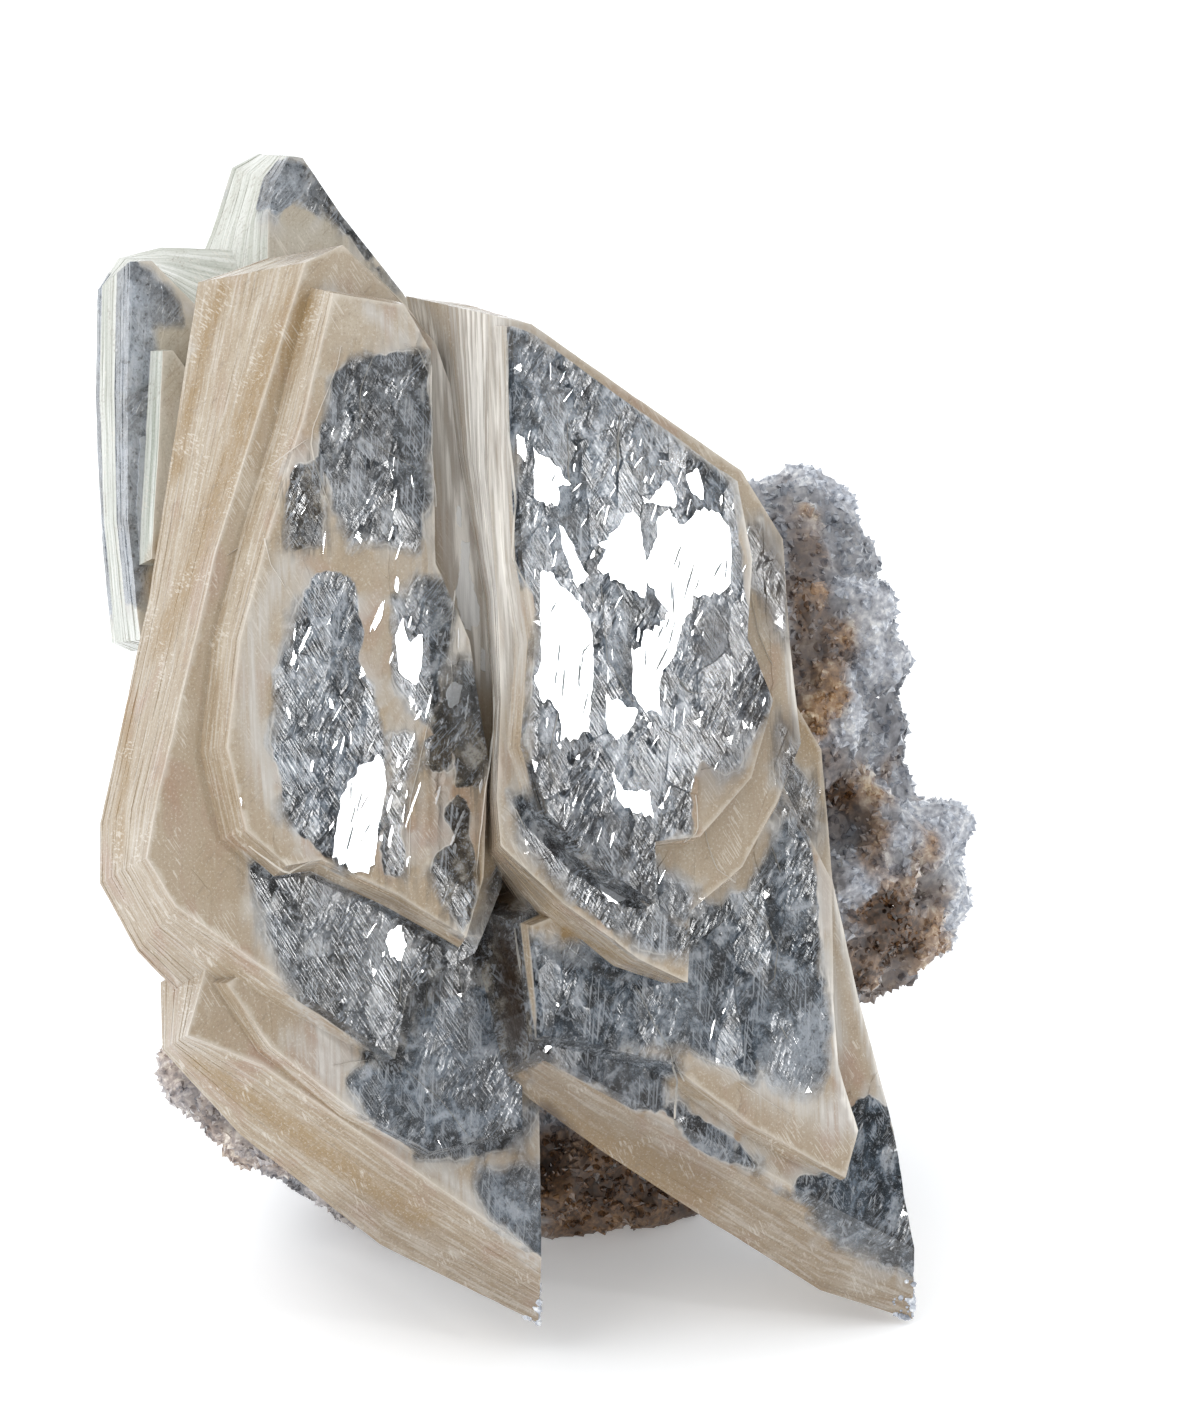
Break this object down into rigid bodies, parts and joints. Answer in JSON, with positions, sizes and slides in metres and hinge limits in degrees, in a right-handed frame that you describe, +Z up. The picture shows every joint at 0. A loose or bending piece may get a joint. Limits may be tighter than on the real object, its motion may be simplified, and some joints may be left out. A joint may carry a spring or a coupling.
{
  "type": "heulandite crystal cluster",
  "caption": "Free-standing mineral specimen: large coffin-shaped pearly heulandite crystals grown side by side on drusy quartz matrix with a flat trimmed base.",
  "frame": {"origin": "middle of the whole cluster seen from above, on the surface it stands on", "axes": "+Z up, -Y towards the viewer of the pearly faces, +X to that viewer's right; the crystals lean back by 25 degrees and their pearly faces turn 25.5 degrees towards +X"},
  "size_m": [0.0691, 0.065, 0.0857],
  "materials": {
    "heulandite_left": "pearly, natural crystal faces",
    "heulandite_right": "pearly, natural crystal faces",
    "heulandite_top": "pearly, natural crystal faces",
    "heulandite_side": "pearly, natural crystal faces",
    "drusy_matrix": "rough, sparkling druse"
  },
  "bodies": {
    "root": {"left_crystal": "heulandite_left", "right_crystal": "heulandite_right", "top_blade": "heulandite_top", "side_blade": "heulandite_side", "matrix": "drusy_matrix"}
  },
  "joints": []
}
